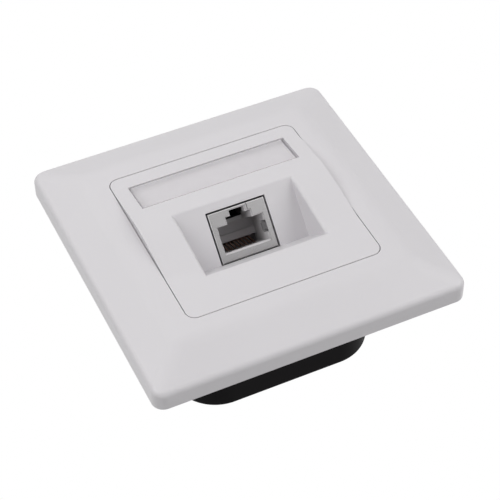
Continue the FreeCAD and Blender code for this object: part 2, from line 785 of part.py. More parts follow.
def make_screw(body, radius, length):
    """Turns a screw whose head stands on the body's zero plane, cuts its drive, and returns both features."""
    profile = draw_polygon(new_sketch(body, "screw_profile", "XZ_Plane"), [
        (ZERO, -length), (radius, -length), (radius, ZERO), (S.screw_head_radius, ZERO),
        (S.screw_head_radius, S.screw_head_height), (ZERO, S.screw_head_height)])
    turn = body.newObject("PartDesign::Revolution", "turned")
    turn.Profile = profile
    turn.ReferenceAxis = (origin_part(body, "Z_Axis"), [""])
    doc.recompute()
    drive = new_sketch(body, "drive_outline", "XY_Plane", z=S.screw_head_height)
    reach, half = S.screw_drive_length / 2, S.screw_drive_width / 2
    draw_polygon(drive, [
        (half, half), (half, reach), (-half, reach), (-half, half), (-reach, half), (-reach, -half),
        (-half, -half), (-half, -reach), (half, -reach), (half, -half), (reach, -half), (reach, half)])
    return [turn, cut(body, "drive", drive, S.screw_drive_depth)]


def make_housing_screws():
    """Four screws through the support plate into the housing's bosses."""
    half = S.boss_spacing / 2
    body = new_body("housing_screws", QUARTER_TURN, -half, S.support_thickness, -half)
    features = make_screw(body, S.housing_screw_radius, S.housing_screw_length)
    four = body.newObject("PartDesign::MultiTransform", "four")
    four.Originals = features
    steps = []
    for name, axis in (("pair_across", "X_Axis"), ("pair_up", "Y_Axis")):
        step = body.newObject("PartDesign::LinearPattern", name)
        step.Direction = (origin_part(body, axis), [""])
        step.Mode = "Spacing"
        step.Occurrences = 2
        bind(step, "Offset", S.boss_spacing)
        steps.append(step)
    four.Transformations = steps
    body.Tip = four
    doc.recompute()
    return body


def make_board_screws():
    """Two screws through the board into the housing's ribs, square to the board."""
    up = POCKET_UP + S.jack_lift * TILT_COS + S.board_screw_depth * TILT_SIN
    out = POCKET_OUT + S.jack_lift * TILT_SIN - S.board_screw_depth * TILT_COS
    body = new_body("board_screws", S.jack_tilt, up, out, -S.board_screw_spacing / 2)
    features = make_screw(body, S.board_screw_radius, S.board_screw_length)
    repeat(body, "pair", features, "X_Axis", S.board_screw_spacing, Size.of(2))
    return body


# The jack, its board and the terminals.

def stepped_mouth():
    """Outline of the plug's opening: the wide mouth, and the two keyways of the latch above it."""
    mouth, key, latch = (width / 2 for width in (S.mouth_width, S.key_width, S.latch_width))
    return [(-mouth, MOUTH_FLOOR), (mouth, MOUTH_FLOOR), (mouth, MOUTH_TOP), (key, MOUTH_TOP), (key, KEY_TOP),
            (latch, KEY_TOP), (latch, LATCH_TOP), (-latch, LATCH_TOP), (-latch, KEY_TOP), (-key, KEY_TOP),
            (-key, MOUTH_TOP), (-mouth, MOUTH_TOP)]


def make_jack_shield():
    """Folded metal box, open towards the board: stepped mouth, seam, ground springs and board tabs."""
    body = jack_body_at("jack_shield")
    half = S.jack_width / 2
    outline = draw_box(new_sketch(body, "shield_outline", "XY_Plane"), -half, S.jack_lift, half, JACK_TOP)
    add(body, "shield", outline, S.jack_depth, backward=True)
    soften(body, "bend", S.shield_bend, flat_at(ZERO))
    inside = new_sketch(body, "inside_outline", "XY_Plane", z=-S.shield_sheet)
    draw_box(inside, S.shield_sheet - half, S.jack_lift - S.shield_sheet, half - S.shield_sheet,
             JACK_TOP - S.shield_sheet)
    cut(body, "inside", inside, S.jack_depth - 2 * S.shield_sheet)
    mouth = draw_polygon(new_sketch(body, "mouth_outline", "XY_Plane"), stepped_mouth())
    cut(body, "mouth", mouth, S.shield_sheet)
    seam = new_sketch(body, "seam_outline", "XY_Plane")
    draw_box(seam, S.seam_offset, KEY_TOP - S.seam_width, S.seam_offset + S.seam_width, JACK_TOP)
    cut(body, "seam", seam, S.shield_sheet)

    wall = half - S.shield_sheet / 2
    for name, side in (("left", -1), ("right", 1)):
        spring = new_sketch(body, name + "_spring_profile", "XZ_Plane", z=-SPRING_MIDDLE)
        draw_polygon(spring, [
            (side * wall, -S.spring_start), (side * (wall - S.spring_bulge), -S.spring_start - S.spring_run),
            (side * (wall - S.spring_bulge), -S.spring_start - S.spring_run - S.shield_sheet),
            (side * wall, -S.spring_start - S.shield_sheet)])
        add(body, name + "_spring", spring, S.spring_width, both_ways=True)
        tab = new_sketch(body, name + "_tab_outline", "XZ_Plane", z=-S.jack_lift)
        edges = sorted((side * half, side * (half - S.shield_sheet)), key=lambda size: size.value)
        draw_box(tab, edges[0], -S.peg_tab_depth - S.peg_tab_width / 2, edges[1],
                 S.peg_tab_width / 2 - S.peg_tab_depth)
        add(body, name + "_tab", tab, S.peg_tab_length)
    return body


def make_jack_body():
    """Moulded body inside the shield: stepped plug cavity, room for the latch, comb and side windows."""
    body = jack_body_at("jack_body")
    half = S.jack_width / 2 - BODY_FRONT
    block = new_sketch(body, "block_outline", "XY_Plane", z=-BODY_FRONT)
    draw_box(block, -half, S.jack_lift, half, JACK_TOP - BODY_FRONT)
    add(body, "block", block, BODY_BACK - BODY_FRONT, backward=True)
    floor, carrier_top = MOUTH_FLOOR + S.lip_rise, S.jack_lift + S.carrier_height + S.fit_play
    mouth, key, latch = (width / 2 - S.cavity_inset for width in (S.mouth_width, S.key_width, S.latch_width))
    mouth_top, key_top, latch_top = (top - S.cavity_inset for top in (MOUTH_TOP, KEY_TOP, LATCH_TOP))
    carrier = S.carrier_width / 2 + S.fit_play
    for name, start, end, half_width, bottom, top in (
            ("cavity", BODY_FRONT, CAVITY_BACK, mouth, floor, mouth_top),
            ("keyway", BODY_FRONT, BODY_FRONT + S.key_depth, key, floor, key_top),
            ("latch_way", BODY_FRONT, BODY_FRONT + S.latch_depth, latch, floor, latch_top),
            ("latch_room", BODY_FRONT + S.latch_depth, BODY_BACK, mouth, key_top, JACK_TOP),
            ("rear_room", BODY_FRONT + S.key_depth, BODY_BACK, mouth, carrier_top, JACK_TOP),
            ("carrier_recess", CAVITY_BACK, BODY_BACK, carrier, S.jack_lift - S.fit_play, carrier_top)):
        space = new_sketch(body, name + "_outline", "XY_Plane", z=-start)
        draw_box(space, -half_width, bottom, half_width, top)
        cut(body, name, space, end - start)

    windows = new_sketch(body, "spring_window_profile", "YZ_Plane")
    reach = S.spring_width / 2 + S.spring_play
    draw_box(windows, SPRING_MIDDLE - reach, -S.spring_start - S.spring_run - S.shield_sheet - S.spring_play,
             SPRING_MIDDLE + reach, S.spring_play - S.spring_start)
    cut(body, "spring_windows", windows, S.jack_width, both_ways=True)

    slot = new_sketch(body, "comb_outline", "XZ_Plane", z=-MOUTH_FLOOR - S.lip_rise)
    half_slot = S.contact_width / 2 + S.contact_play
    draw_box(slot, FIRST_CONTACT - half_slot, -CAVITY_BACK, FIRST_CONTACT + half_slot, -S.comb_start)
    first = cut(body, "comb_slot", slot, S.comb_depth, backward=True)
    repeat(body, "comb", [first], "X_Axis", S.contact_pitch, S.contact_count)
    return body


def make_contact_carrier():
    """Insert behind the cavity: a ledge across its front, a bay under it and a slot for each contact."""
    body = jack_body_at("contact_carrier")
    half = S.carrier_width / 2
    block = new_sketch(body, "block_outline", "XY_Plane", z=-CAVITY_BACK)
    draw_box(block, -half, S.jack_lift, half, S.jack_lift + S.carrier_height)
    add(body, "block", block, BODY_BACK - CAVITY_BACK, backward=True)
    front = new_sketch(body, "ledge_outline", "XY_Plane", z=-CAVITY_BACK)
    reach = S.mouth_width / 2 - S.cavity_inset - S.fit_play
    ledge_bottom = S.jack_lift + S.ledge_rise
    draw_box(front, -reach, ledge_bottom, reach, ledge_bottom + S.ledge_height)
    add(body, "ledge", front, S.ledge_depth)
    bay = new_sketch(body, "bay_outline", "XY_Plane", z=-CAVITY_BACK)
    draw_box(bay, -reach, S.jack_lift + S.bay_rise, reach, ledge_bottom)
    cut(body, "bay", bay, S.bay_depth)
    slot = new_sketch(body, "slot_profile", "YZ_Plane", z=FIRST_CONTACT)
    gap = S.contact_thickness / 2 + S.contact_play
    draw_polygon(slot, [
        (S.jack_lift - S.contact_play, -S.contact_tail - gap), (CONTACT_TOP + gap, -S.contact_tail - gap),
        (CONTACT_TOP + gap, -CAVITY_BACK + gap), (CONTACT_TOP - gap, -CAVITY_BACK + gap),
        (CONTACT_TOP - gap, -S.contact_tail + gap), (S.jack_lift - S.contact_play, -S.contact_tail + gap)])
    first = cut(body, "slot", slot, S.contact_width + 2 * S.contact_play, both_ways=True)
    repeat(body, "slots", [first], "X_Axis", S.contact_pitch, S.contact_count)
    return body


def make_jack_contacts():
    """Eight spring contacts: up from the board, forward out of the carrier, then down into the comb."""
    body = jack_body_at("jack_contacts")
    half = S.contact_thickness / 2
    foot = BOARD_BACK - S.pin_length
    strip = draw_polygon(new_sketch(body, "strip_profile", "YZ_Plane", z=FIRST_CONTACT), [
        (foot, -S.contact_tail - half), (CONTACT_TOP + half, -S.contact_tail - half),
        (CONTACT_TOP + half, -S.contact_bend), (CONTACT_TIP_HEIGHT + half, -S.contact_tip),
        (CONTACT_TIP_HEIGHT - half, -S.contact_tip), (CONTACT_TOP - half, -S.contact_bend),
        (CONTACT_TOP - half, -S.contact_tail + half), (foot, -S.contact_tail + half)])
    first = add(body, "contact", strip, S.contact_width, both_ways=True)
    repeat(body, "contacts", [first], "X_Axis", S.contact_pitch, S.contact_count)
    return body


def make_circuit_board():
    """Board under the jack, with holes for the contacts, the shield's tabs, the terminals and two screws."""
    body = jack_body_at("circuit_board")
    outline = new_sketch(body, "board_outline", "XZ_Plane", z=-S.jack_lift)
    half = S.board_width / 2
    draw_box(outline, -half, -S.board_start - S.board_length, half, -S.board_start)
    add(body, "board", outline, S.board_thickness)
    holes = new_sketch(body, "hole_outlines", "XZ_Plane", z=-S.jack_lift)
    for index in range(int(SIZES["contact_count"])):
        draw_circle(holes, FIRST_CONTACT + index * S.contact_pitch, -S.contact_tail, S.pin_hole_radius)
    for side in (-1, 1):
        draw_circle(holes, side * S.board_screw_spacing / 2, -S.board_screw_depth,
                    S.board_screw_radius + S.screw_play)
        draw_circle(holes, side * (S.jack_width - S.shield_sheet) / 2, -S.peg_tab_depth, S.tab_hole_radius)
        for place in terminal_places(side):
            draw_circle(holes, place, -FORK_DEPTH, S.pin_hole_radius)
    cut(body, "holes", holes, backward=True)
    return body


def block_middle(side):
    return side * (S.block_gap + S.block_width) / 2


def terminal_places(side):
    """Offsets across of the terminals of the left or the right block."""
    first = block_middle(side) - TERMINAL_SPAN / 2
    return [first + index * S.terminal_pitch for index in range(int(SIZES["terminal_count"]))]


def make_terminal_block(name, side):
    """Block under the board, with a channel for each wire and a slot across it for the fork."""
    body = jack_body_at(name)
    middle = block_middle(side)
    half = S.block_width / 2
    end = BOARD_BACK - S.block_height
    block = new_sketch(body, "block_outline", "XZ_Plane", z=-BOARD_BACK)
    draw_box(block, middle - half, -S.block_start - S.block_length, middle + half, -S.block_start)
    add(body, "block", block, S.block_height)
    first = terminal_places(side)[0]
    channel = new_sketch(body, "channel_outline", "XY_Plane", z=-S.block_start)
    draw_box(channel, first - S.channel_width / 2, end, first + S.channel_width / 2, end + S.channel_depth)
    wire_way = cut(body, "channel", channel)
    slot = new_sketch(body, "fork_slot_outline", "XZ_Plane", z=-end)
    half_x, half_z = S.fork_width / 2 + S.fit_play, S.fork_thickness / 2 + S.fit_play
    draw_box(slot, first - half_x, -FORK_DEPTH - half_z, first + half_x, half_z - FORK_DEPTH)
    fork_way = cut(body, "fork_slot", slot)
    repeat(body, "terminals", [wire_way, fork_way], "X_Axis", S.terminal_pitch, S.terminal_count)
    return body


def make_forks(name, side):
    """Four flat forks that cut into the wires, each with a pin through the board."""
    body = jack_body_at(name)
    first = terminal_places(side)[0]
    half, slit, tail = S.fork_width / 2, S.fork_slit / 2, S.fork_tail / 2
    tip = BOARD_BACK - S.block_height + S.fork_recess
    slit_top = tip + S.fork_slit_depth
    pin = S.jack_lift - S.fit_play
    outline = new_sketch(body, "fork_outline", "XY_Plane", z=-FORK_DEPTH)
    draw_polygon(outline, [
        (first - half, tip), (first - slit, tip), (first - slit, slit_top), (first + slit, slit_top),
        (first + slit, tip), (first + half, tip), (first + half, BOARD_BACK), (first + tail, BOARD_BACK),
        (first + tail, pin), (first - tail, pin), (first - tail, BOARD_BACK), (first - half, BOARD_BACK)])
    fork = add(body, "fork", outline, S.fork_thickness, both_ways=True)
    repeat(body, "forks", [fork], "X_Axis", S.terminal_pitch, S.terminal_count)
    return body


def make_shield_clip():
    """Folded clip under the board that grips the cable's screen."""
    body = jack_body_at("shield_clip")
    half = S.clip_width / 2
    foot = BOARD_BACK - S.clip_height
    bend = BOARD_BACK - S.clip_sheet
    outline = new_sketch(body, "clip_profile", "XY_Plane", z=-S.clip_start)
    draw_polygon(outline, [
        (-half, foot), (S.clip_sheet - half, foot), (S.clip_sheet - half, bend), (half - S.clip_sheet, bend),
        (half - S.clip_sheet, foot), (half, foot), (half, BOARD_BACK), (-half, BOARD_BACK)])
    add(body, "clip", outline, S.clip_length, backward=True)
    return body


def make_pieces():
    """Builds every sub-part, from the face back into the wall."""
    pieces = [make_cover_frame(), make_centre_plate(), make_label_window(), make_label_card(),
              make_support_plate(), make_rear_housing(), make_cable_grommet(), make_housing_screws(),
              make_board_screws(), make_jack_shield(), make_jack_body(), make_contact_carrier(),
              make_jack_contacts(), make_circuit_board(), make_shield_clip()]
    for name, side in (("left", -1), ("right", 1)):
        pieces.append(make_terminal_block("idc_block_" + name, side))
        pieces.append(make_forks("idc_forks_" + name, side))
    return pieces


def check_pieces(pieces):
    """Stops if any object failed to build or any sub-part has no valid shape."""
    doc.recompute()
    for item in doc.Objects:
        if "Invalid" in item.State or "Error" in item.State:
            raise RuntimeError("%s did not build: %s" % (item.Label, item.State))
    for piece in pieces:
        if piece.Shape.isNull() or not piece.Shape.isValid():
            raise RuntimeError("%s has no valid shape" % piece.Label)


def write_pieces(pieces):
    os.makedirs("parts", exist_ok=True)
    for piece in pieces:
        piece.Shape.exportStep("parts/%s.step" % piece.Label)
        print("%-18s %2d solids %10.2f mm3" % (piece.Label, len(piece.Shape.Solids), piece.Shape.Volume))


all_pieces = make_pieces()
check_pieces(all_pieces)
write_pieces(all_pieces)
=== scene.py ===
"""Dresses the ethernet wall socket: a finish for every piece, studio light and the photo's camera."""
import logging
import math
from dataclasses import dataclass
from enum import Enum
from typing import Mapping, Optional, Sequence, Union

import bpy
from mathutils import Matrix, Vector

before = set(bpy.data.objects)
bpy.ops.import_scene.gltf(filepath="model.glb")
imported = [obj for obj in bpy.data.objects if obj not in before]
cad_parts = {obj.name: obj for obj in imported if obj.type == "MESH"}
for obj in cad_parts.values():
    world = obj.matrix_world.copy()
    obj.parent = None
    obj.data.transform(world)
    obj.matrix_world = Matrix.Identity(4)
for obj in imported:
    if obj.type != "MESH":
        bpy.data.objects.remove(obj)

LOG = logging.getLogger("wall_socket")
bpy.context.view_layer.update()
MM = 0.001

Triple = tuple[float, float, float]
Colour = Triple
Span = tuple[float, float]
Stops = tuple[Span, Span]
Value = Union[float, "Wire"]

NO_LIGHT: Colour = (0.0, 0.0, 0.0)
FULL_LIGHT: Colour = (1.0, 1.0, 1.0)
NOISE_MEAN = 0.5
NOISE_ROUGHNESS = 0.55

# The Mix node's inputs, by number because several share a name
MIX_SHARE, MIX_FIRST, MIX_SECOND = 0, 6, 7

# The jack's own directions and the foot of its face
SLANT = math.radians(45.0)
INTO_JACK: Triple = (0.0, math.cos(SLANT), math.sin(SLANT))
UP_JACK: Triple = (0.0, -math.sin(SLANT), math.cos(SLANT))
JACK_FOOT: Triple = (0.0, 0.4 * MM, -5.0 * MM)


class Axis(Enum):
    """The way that the lines of a drawn metal run."""

    ACROSS = (1.0, 0.0, 0.0)
    OUT = (0.0, 1.0, 0.0)
    UP = (0.0, 0.0, 1.0)


@dataclass(frozen=True)
class Pattern:
    """A noise: its clouds to the metre and its layers of detail."""

    per_metre: float
    layers: float


def opaque(colour: Colour) -> tuple[float, float, float, float]:
    """A colour with full alpha."""
    return (*colour, 1.0)


def shade(colour: Colour, factor: float) -> Colour:
    """A colour made darker or lighter by a factor."""
    return tuple(min(1.0, part * factor) for part in colour)


class Wire:
    """One output socket, on which sums and products add Math nodes."""

    def __init__(self, board: "Board", socket: bpy.types.NodeSocket) -> None:
        """Keeps the socket and the board that it is on."""
        self.board = board
        self.socket = socket

    def _math(self, operation: str, first: Value, second: Value) -> "Wire":
        """Adds one Math node and returns its result."""
        return self.board.node("ShaderNodeMath", {"operation": operation}, {0: first, 1: second})

    def __add__(self, other: Value) -> "Wire":
        """Adds a number or another wire."""
        return self._math("ADD", self, other)

    def __radd__(self, other: Value) -> "Wire":
        """Adds this wire to a number."""
        return self._math("ADD", other, self)

    def __sub__(self, other: Value) -> "Wire":
        """Takes away a number or another wire."""
        return self._math("SUBTRACT", self, other)

    def __rsub__(self, other: Value) -> "Wire":
        """Takes this wire from a number."""
        return self._math("SUBTRACT", other, self)

    def __mul__(self, other: Value) -> "Wire":
        """Multiplies by a number or another wire."""
        return self._math("MULTIPLY", self, other)

    def __abs__(self) -> "Wire":
        """The size of the value without its sign."""
        return self._math("ABSOLUTE", self, 0.0)

    def larger(self, other: Value) -> "Wire":
        """The larger of this and another value."""
        return self._math("MAXIMUM", self, other)

    def sway(self, size: float) -> "Wire":
        """A noise as a change to both sides of zero, scaled to a size."""
        return (self - NOISE_MEAN) * size

    def out(self, name: str) -> "Wire":
        """Another output of the same node."""
        return Wire(self.board, self.socket.node.outputs[name])


class Board:
    """The node board of one material or world."""

    def __init__(self, owner: Union[bpy.types.Material, bpy.types.World]) -> None:
        """Clears the owner's nodes.

        Args:
            owner: The material or world whose board this is.
        """
        owner.use_nodes = True
        self.owner = owner
        self.tree = owner.node_tree
        self.tree.nodes.clear()

    @classmethod
    def of_material(cls, name: str) -> "Board":
        """The board of a new material of that name."""
        return cls(bpy.data.materials.new(name))

    def node(self, kind: str, settings: Optional[Mapping[str, object]] = None,
             sockets: Optional[Mapping[Union[str, int], object]] = None) -> Optional[Wire]:
        """Adds a node.

        Args:
            kind: The node's type.
            settings: Its own settings, set first; "stops" sets a ramp's stops.
            sockets: Values or wires for its inputs, by name or number.

        Returns:
            The node's first output that is in use, or None for a node that ends the board.
        """
        made = self.tree.nodes.new(kind)
        for key, setting in (settings or {}).items():
            if key == "stops":
                self._set_stops(made.color_ramp, setting)
            else:
                setattr(made, key, setting)
        for key, value in (sockets or {}).items():
            if isinstance(value, Wire):
                self.tree.links.new(value.socket, made.inputs[key])
            else:
                made.inputs[key].default_value = value
        used = [socket for socket in made.outputs if socket.enabled]
        return Wire(self, used[0]) if used else None

    @staticmethod
    def _set_stops(ramp: bpy.types.ColorRamp, stops: Stops) -> None:
        """Makes a new ramp grey and sets its two stops.

        Args:
            ramp: The ramp to set.
            stops: A place and a level for each stop.
        """
        for element, (place, level) in zip(ramp.elements, stops):
            element.position = place
            element.color = opaque((level, level, level))

    def place(self) -> Wire:
        """The point on the piece, in metres."""
        return self.node("ShaderNodeTexCoord").out("Object")

    def turned(self, scale: Triple, angle: float = 0.0) -> Wire:
        """The point on the piece, turned about X and scaled on each axis."""
        return self.node("ShaderNodeMapping", None,
                         {"Vector": self.place(), "Rotation": (angle, 0.0, 0.0), "Scale": scale})

    def along(self, direction: Triple, start: Triple = (0.0, 0.0, 0.0)) -> Wire:
        """How far the point on the piece lies along a direction.

        Args:
            direction: The direction, of length 1.
            start: The point from which to measure, in metres.

        Returns:
            The distance in metres, negative before the start.
        """
        reach = self.node("ShaderNodeVectorMath", {"operation": "DOT_PRODUCT"},
                          {0: self.place(), 1: direction})
        return reach.out("Value") - Vector(direction).dot(Vector(start))

    def rise(self, value: Wire, span: Span) -> Wire:
        """A smooth step from 0 at the start of a span to 1 at its end."""
        return self.node("ShaderNodeMapRange", {"interpolation_type": "SMOOTHSTEP"},
                         {"Value": value, "From Min": span[0], "From Max": span[1]})

    def noise(self, pattern: Pattern, where: Optional[Wire] = None) -> Wire:
        """Cloudy noise from 0 to 1.

        Args:
            pattern: How fine the noise is.
            where: The point at which it is taken, or None for the point on the piece.

        Returns:
            The noise.
        """
        return self.node("ShaderNodeTexNoise", None, {
            "Vector": where or self.place(), "Scale": pattern.per_metre, "Detail": pattern.layers,
            "Roughness": NOISE_ROUGHNESS})

    def ramp(self, value: Wire, stops: Stops) -> Wire:
        """A value sent through a grey ramp."""
        return self.node("ShaderNodeValToRGB", {"stops": stops}, {"Fac": value})

    def mix(self, first: Union[Colour, Wire], second: Union[Colour, Wire], share: Value) -> Wire:
        """A blend of two colours.

        Args:
            first: The colour where share is 0.
            second: The colour where share is 1.
            share: How much of the second colour shows.

        Returns:
            The blended colour.
        """
        ends = {MIX_FIRST: first, MIX_SECOND: second}
        ready = {key: end if isinstance(end, Wire) else opaque(end) for key, end in ends.items()}
        return self.node("ShaderNodeMix", {"data_type": "RGBA"}, {MIX_SHARE: share, **ready})

    def shades(self, colour: Colour, tones: Span, share: Wire) -> Wire:
        """A colour that goes from one shade of it to another."""
        return self.mix(shade(colour, tones[0]), shade(colour, tones[1]), share)

    def bump(self, height: Wire, depth: float) -> Wire:
        """A relief of that depth in metres."""
        return self.node("ShaderNodeBump", None, {"Height": height, "Distance": depth, "Strength": 1.0})

    def surface(self, sockets: Mapping[str, object]) -> bpy.types.Material:
        """Ends the board in one surface.

        Args:
            sockets: Values or wires for the surface's inputs, by name.

        Returns:
            The material.
        """
        shader = self.node("ShaderNodeBsdfPrincipled", None, sockets)
        self.node("ShaderNodeOutputMaterial", None, {"Surface": shader})
        return self.owner


@dataclass(frozen=True)
class MouldedPlastic:
    """Moulded plastic with a faint flow cloud, a fine eroded grain and a few hairline scuffs."""

    name: str
    colour: Colour
    roughness: float
    specular: float = 0.5
    cloud: float = 0.02
    flow: Pattern = Pattern(45.0, 3.0)
    flow_roughness: float = 0.08
    grain: Pattern = Pattern(5200.0, 1.0)
    grain_roughness: float = 0.05
    grain_depth: float = 0.004 * MM
    scuffs: Pattern = Pattern(320.0, 4.0)
    scuff_stretch: Triple = (1.0, 1.0, 9.0)
    scuff_angle: float = 0.6
    scuff_stops: Stops = ((0.62, 0.0), (0.78, 1.0))
    scuff_roughness: float = 0.06

    def material(self) -> bpy.types.Material:
        """Builds the plastic.

        Returns:
            The new material.
        """
        board = Board.of_material(self.name)
        flow = board.noise(self.flow)
        grain = board.noise(self.grain)
        strokes = board.turned(self.scuff_stretch, self.scuff_angle)
        scuffs = board.ramp(board.noise(self.scuffs, strokes), self.scuff_stops)
        colour = board.shades(self.colour, (1.0 - self.cloud, 1.0 + self.cloud), flow)
        rough = self.roughness + flow.sway(self.flow_roughness) + grain.sway(self.grain_roughness)
        return board.surface({
            "Base Color": self.with_painted_light(board, colour),
            "Roughness": rough + scuffs * self.scuff_roughness,
            "Specular IOR Level": self.specular,
            "Normal": board.bump(grain, self.grain_depth)})

    def with_painted_light(self, board: Board, colour: Wire) -> Wire:
        """The plastic's colour with any painted light added; a plain moulding paints none and keeps its
        colour.
        """
        return colour


@dataclass(frozen=True)
class CavityPlastic(MouldedPlastic):
    """Moulded plastic of the jack's body, with painted shade that darkens it towards the back of the
    plug's cavity.
    """

    # Painted shade: the depths over which it sets in, and how much darker it makes the plastic
    painted_shade_span: Span = (2.0 * MM, 7.5 * MM)
    painted_shade_strength: float = 0.42

    def with_painted_light(self, board: Board, colour: Wire) -> Wire:
        """Paints shade on the plastic, darker with its depth in the jack.

        Args:
            board: The material's board.
            colour: The colour of the new plastic.

        Returns:
            The colour to show.
        """
        # Painted shade: the plastic darkens with depth, where less light reaches the back of the cavity
        depth = board.along(INTO_JACK, JACK_FOOT)
        shaded_colour = shade(self.colour, 1.0 - self.painted_shade_strength)
        return board.mix(colour, shaded_colour, board.rise(depth, self.painted_shade_span))


@dataclass(frozen=True)
class ClearPlastic:
    """Clear moulded strip: partly see-through, with a faint haze that changes along it."""

    name: str
    colour: Colour
    haze: float
    roughness: float = 0.08
    tones: Span = (0.97, 1.0)
    cloud: Pattern = Pattern(120.0, 3.0)
    cloud_roughness: float = 0.08
    cloud_haze: float = 0.06
    ripples: Pattern = Pattern(2600.0, 2.0)
    ripple_roughness: float = 0.04
    ripple_depth: float = 0.001 * MM

    def material(self) -> bpy.types.Material:
        """Builds the clear plastic.

        Returns:
            The new material.
        """
        board = Board.of_material(self.name)
        cloud = board.noise(self.cloud)
        ripples = board.noise(self.ripples)
        return board.surface({
            "Base Color": board.shades(self.colour, self.tones, cloud),
            "Roughness": self.roughness + cloud * self.cloud_roughness + ripples * self.ripple_roughness,
            "Alpha": self.haze + cloud.sway(self.cloud_haze),
            "Normal": board.bump(ripples, self.ripple_depth)})


@dataclass(frozen=True)
class LabelPaper:
    """Matt paper with short fibres."""

    name: str
    colour: Colour
    roughness: float = 0.82
    specular: float = 0.25
    tones: Span = (0.96, 1.02)
    fibres: Pattern = Pattern(2400.0, 3.0)
    fibre_stretch: Triple = (1.0, 2.6, 2.6)
    fibre_angle: float = 0.13
    fibre_share: float = 0.6
    fibre_roughness: float = 0.1
    fibre_depth: float = 0.012 * MM
    cloud: Pattern = Pattern(160.0, 2.0)

    def material(self) -> bpy.types.Material:
        """Builds the paper.

        Returns:
            The new material.
        """
        board = Board.of_material(self.name)
        fibres = board.noise(self.fibres, board.turned(self.fibre_stretch, self.fibre_angle))
        cloud = board.noise(self.cloud)
        tone = fibres * self.fibre_share + cloud * (1.0 - self.fibre_share)
        return board.surface({
            "Base Color": board.shades(self.colour, self.tones, tone),
            "Roughness": self.roughness + fibres * self.fibre_roughness,
            "Specular IOR Level": self.specular,
            "Normal": board.bump(fibres, self.fibre_depth)})


@dataclass(frozen=True)
class PlatedSheet:
    """Plated metal with drawn lines, cloudy plating and, on zinc, a spangle of flakes."""

    name: str
    colour: Colour
    roughness: float
    lines: Axis
    tilt: float = 0.0
    spangle: float = 0.0
    tones: Span = (0.86, 1.08)
    drawing: Pattern = Pattern(9000.0, 2.0)
    drawing_stretch: float = 0.04
    drawing_roughness: float = 0.16
    drawing_depth: float = 0.002 * MM
    cloud: Pattern = Pattern(140.0, 4.0)
    cloud_roughness: float = 0.12
    flakes_per_metre: float = 420.0
    flake_roughness: float = 0.16

    def material(self) -> bpy.types.Material:
        """Builds the metal.

        Returns:
            The new material.
        """
        board = Board.of_material(self.name)
        stretch = tuple(self.drawing_stretch if along else 1.0 for along in self.lines.value)
        drawn = board.noise(self.drawing, board.turned(stretch, self.tilt))
        cloud = board.noise(self.cloud)
        cells = board.node("ShaderNodeTexVoronoi", None,
                           {"Vector": board.place(), "Scale": self.flakes_per_metre})
        flakes = board.node("ShaderNodeSeparateColor", None, {"Color": cells.out("Color")})
        tone = cloud * (1.0 - self.spangle) + flakes * self.spangle
        colour = board.shades(self.colour, self.tones, tone)
        rough = self.roughness + drawn.sway(self.drawing_roughness) + cloud.sway(self.cloud_roughness)
        return board.surface({
            "Base Color": self.with_painted_light(board, colour),
            "Metallic": 1.0,
            "Roughness": rough + flakes.sway(self.flake_roughness * self.spangle),
            "Normal": board.bump(drawn, self.drawing_depth)})

    def with_painted_light(self, board: Board, colour: Wire) -> Wire:
        """The plating's colour with any painted light added; a plain sheet paints none and keeps its
        colour.
        """
        return colour


@dataclass(frozen=True)
class ShieldSheet(PlatedSheet):
    """Plated sheet of the jack's shield: dim grey face, painted highlights on its folds and cut edges,
    painted shade on its walls and all behind them.

    Each span says where something sets in: as a depth into the jack, or as a distance from the middle
    of its face.
    """

    # The colours of the painted highlight and the painted shade
    painted_highlight: Colour = (0.82, 0.81, 0.81)
    painted_shadow_colour: Colour = (0.012, 0.011, 0.011)
    middle_height: float = 6.45 * MM
    below_face: Span = (0.06 * MM, 0.15 * MM)
    behind_sheet: Span = (0.45 * MM, 0.9 * MM)
    deep_inside: Span = (3.2 * MM, 4.8 * MM)
    side_wall: Span = (7.0 * MM, 7.1 * MM)
    level_wall: Span = (5.85 * MM, 5.95 * MM)
    side_fold: Span = (7.25 * MM, 7.4 * MM)
    top_fold: Span = (6.1 * MM, 6.25 * MM)
    outer_wall_shade: float = 0.6
    fold_highlight: float = 0.7

    def with_painted_light(self, board: Board, colour: Wire) -> Wire:
        """Paints highlights on the folds and cut edges, and paints shade on the outer walls and all that
        lies deeper.

        Args:
            board: The material's board.
            colour: The colour of the plain sheet.

        Returns:
            The colour to show.
        """
        depth = board.along(INTO_JACK, JACK_FOOT)
        across = abs(board.along(Axis.ACROSS.value))
        up = board.along(UP_JACK, JACK_FOOT) - self.middle_height
        below = board.rise(depth, self.below_face)
        behind = board.rise(depth, self.behind_sheet)
        deep = board.rise(depth, self.deep_inside)
        outer = board.rise(across, self.side_wall).larger(board.rise(abs(up), self.level_wall))
        fold = board.rise(across, self.side_fold).larger(board.rise(up, self.top_fold))
        # Painted highlight: the cut edges and the folds are brightened
        highlighted = board.mix(colour, self.painted_highlight, (below * (1.0 - behind)).larger(fold * self.fold_highlight))
        # Painted shade: the outer walls in the gap and all that lies deeper are darkened
        return board.mix(highlighted, self.painted_shadow_colour, deep.larger(outer * below * self.outer_wall_shade))


@dataclass(frozen=True)
class SoftRubber:
    """Matt rubber with a fine tooth and a dusty bloom."""

    name: str
    colour: Colour
    roughness: float = 0.7
    specular: float = 0.3
    tones: Span = (1.0, 1.9)
    tooth: Pattern = Pattern(3800.0, 2.0)
    tooth_roughness: float = 0.15
    tooth_depth: float = 0.01 * MM
    bloom: Pattern = Pattern(260.0, 4.0)
    bloom_stops: Stops = ((0.4, 0.0), (0.75, 1.0))

    def material(self) -> bpy.types.Material:
        """Builds the rubber.

        Returns:
            The new material.
        """
        board = Board.of_material(self.name)
        tooth = board.noise(self.tooth)
        bloom = board.ramp(board.noise(self.bloom), self.bloom_stops)
        return board.surface({
            "Base Color": board.shades(self.colour, self.tones, bloom),
            "Roughness": self.roughness + tooth * self.tooth_roughness,
            "Specular IOR Level": self.specular,
            "Normal": board.bump(tooth, self.tooth_depth)})


